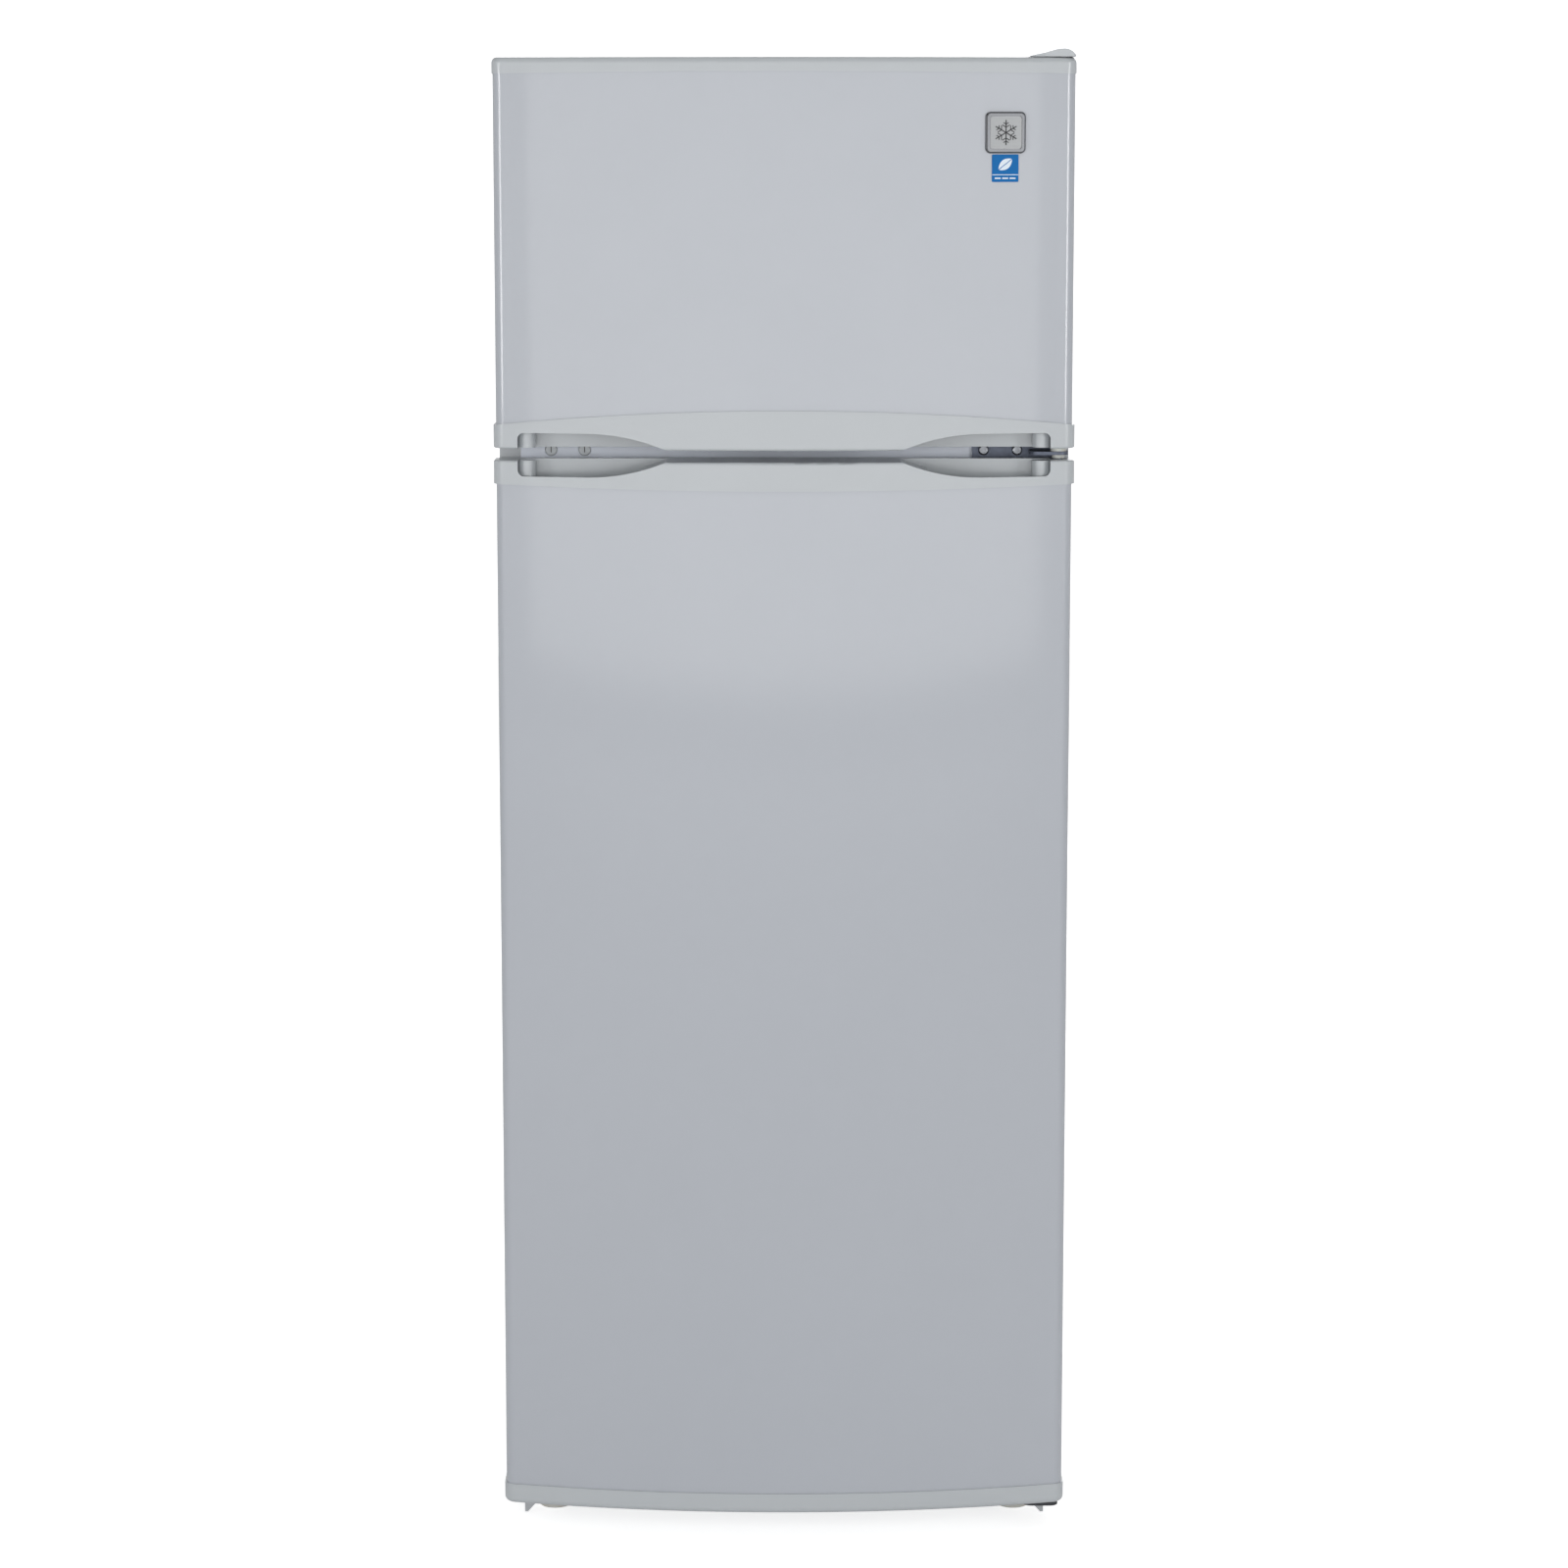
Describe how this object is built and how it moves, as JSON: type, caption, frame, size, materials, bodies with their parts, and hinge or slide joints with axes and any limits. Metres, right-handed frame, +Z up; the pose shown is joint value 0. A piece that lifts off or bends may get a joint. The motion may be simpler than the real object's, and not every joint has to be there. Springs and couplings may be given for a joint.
{
  "type": "top freezer refrigerator",
  "caption": "Apartment-size top freezer refrigerator with two bowed doors hinged on the right, finger recesses between them, and its compressor and wire condenser behind.",
  "frame": {"origin": "on the floor, under the middle of the whole object's box", "axes": "+X to the right as the doors are faced, -Y out of the doors, +Z up"},
  "size_m": [0.551, 0.58, 1.4382],
  "materials": {
    "cabinet_paint": "fine textured white paint",
    "door_paint": "smooth semi-gloss white paint",
    "trim_plastic": "satin white moulding",
    "liner_plastic": "gloss white vacuum-formed sheet",
    "bin_plastic": "satin white moulding",
    "clear_plastic": "clear moulded plastic",
    "shelf_glass": "clear toughened glass",
    "lens_plastic": "frosted",
    "lamp_glass": "frosted",
    "foam": "rigid closed-cell foam",
    "gasket": "soft extrusion",
    "rubber": "matt",
    "nylon": "natural nylon",
    "black_plastic": "matt black moulding",
    "zinc_steel": "bright zinc plate",
    "hinge_steel": "blued steel",
    "dark_steel": "dark phosphate",
    "galvanised_steel": "galvanised",
    "back_panel_steel": "light grey coated sheet",
    "rail_paint": "smooth grey-white paint",
    "compressor_paint": "gloss black enamel",
    "condenser_paint": "satin black enamel",
    "copper": "copper tube",
    "aluminium": "mill finish",
    "coated_wire": "white epoxy-coated wire",
    "badge_chrome": "polished",
    "label_film": "printed film"
  },
  "bodies": {
    "cabinet": {"base_frame": "galvanised_steel", "bottom_hinge": "dark_steel", "cabinet_back_panel": "back_panel_steel", "cabinet_foam": "foam", "cabinet_wrap": "cabinet_paint", "cable_gland": "black_plastic", "centre_rail": "rail_paint", "compressor": "compressor_paint", "compressor_grommets": "rubber", "condenser_tube": "condenser_paint", "condenser_wires": "condenser_paint", "control_housing": "liner_plastic", "drain_pan": "black_plastic", "evaporator": "aluminium", "evaporator_cover": "liner_plastic", "fan_motor": "galvanised_steel", "filter_drier": "copper", "foot_brackets": "cabinet_paint", "freezer_liner": "liner_plastic", "freezer_shelf": "coated_wire", "fridge_liner": "liner_plastic", "hinge_hole_plugs": "trim_plastic", "hinge_screws": "zinc_steel", "hinge_washers": "nylon", "lamp": "lamp_glass", "lamp_lens": "lens_plastic", "light_switch_body": "liner_plastic", "middle_hinge": "hinge_steel", "refrigerant_tubes": "copper", "roller_brackets": "galvanised_steel", "shelf_frames": "liner_plastic", "shelf_glass": "shelf_glass", "terminal_cover": "black_plastic", "top_hinge": "zinc_steel", "top_hinge_cover": "trim_plastic", "wall_spacers": "black_plastic"},
    "freezer_door": {"freezer_door_skin": "door_paint", "freezer_door_foam": "foam", "freezer_door_liner": "liner_plastic", "freezer_door_gasket": "gasket", "freezer_door_top_cap": "trim_plastic", "freezer_door_handle_trim": "trim_plastic", "freezer_door_bins": "bin_plastic", "badge_frame": "badge_chrome", "door_label": "label_film"},
    "fridge_door": {"fridge_door_skin": "door_paint", "fridge_door_foam": "foam", "fridge_door_liner": "liner_plastic", "fridge_door_gasket": "gasket", "fridge_door_handle_trim": "trim_plastic", "fridge_door_bottom_cap": "trim_plastic", "fridge_door_bins": "bin_plastic"},
    "crisper": {"crisper_drawer": "clear_plastic"},
    "light_plunger": {"light_switch_plunger": "trim_plastic"},
    "thermostat": {"thermostat_knob": "trim_plastic"},
    "fan": {"fan_blade": "black_plastic"},
    "foot_left": {"leveling_foot_left": "nylon"},
    "foot_right": {"leveling_foot_right": "nylon"},
    "roller_left_wheel": {"roller_left": "nylon"},
    "roller_right_wheel": {"roller_right": "nylon"}
  },
  "joints": [
    {"name": "freezer_door_swing", "type": "hinge", "parent": "cabinet", "child": "freezer_door", "pos_m": [0.261, -0.236, 1.25], "axis": [0, 0, 1], "range_deg": [0, 130]},
    {"name": "fridge_door_swing", "type": "hinge", "parent": "cabinet", "child": "fridge_door", "pos_m": [0.261, -0.236, 0.54], "axis": [0, 0, 1], "range_deg": [0, 130]},
    {"name": "crisper_slide", "type": "slide", "parent": "cabinet", "child": "crisper", "axis": [0, -1, 0], "range_m": [0, 0.155]},
    {"name": "light_switch_travel", "type": "slide", "parent": "cabinet", "child": "light_plunger", "axis": [0, -1, 0], "range_m": [0, 0.008]},
    {"name": "thermostat_turn", "type": "hinge", "parent": "cabinet", "child": "thermostat", "pos_m": [0.062, -0.0825, 1.01], "axis": [0, -1, 0], "range_deg": [0, 270]},
    {"name": "fan_spin", "type": "hinge", "parent": "cabinet", "child": "fan", "pos_m": [0, 0.131, 1.308], "axis": [0, 1, 0], "continuous": true},
    {"name": "foot_left_turn", "type": "hinge", "parent": "cabinet", "child": "foot_left", "pos_m": [-0.229, -0.172, 0.01], "axis": [0, 0, 1], "continuous": true},
    {"name": "foot_right_turn", "type": "hinge", "parent": "cabinet", "child": "foot_right", "pos_m": [0.229, -0.172, 0.01], "axis": [0, 0, 1], "continuous": true},
    {"name": "roller_left_roll", "type": "hinge", "parent": "cabinet", "child": "roller_left_wheel", "pos_m": [-0.215, 0.215, 0.013], "axis": [1, 0, 0], "continuous": true},
    {"name": "roller_right_roll", "type": "hinge", "parent": "cabinet", "child": "roller_right_wheel", "pos_m": [0.215, 0.215, 0.013], "axis": [1, 0, 0], "continuous": true}
  ],
  "couplings": [
    {"joint": "crisper_slide", "follows": "fridge_door_swing", "m_per_rad": 0.066},
    {"joint": "light_switch_travel", "follows": "fridge_door_swing", "m_per_rad": 0.0035}
  ]
}
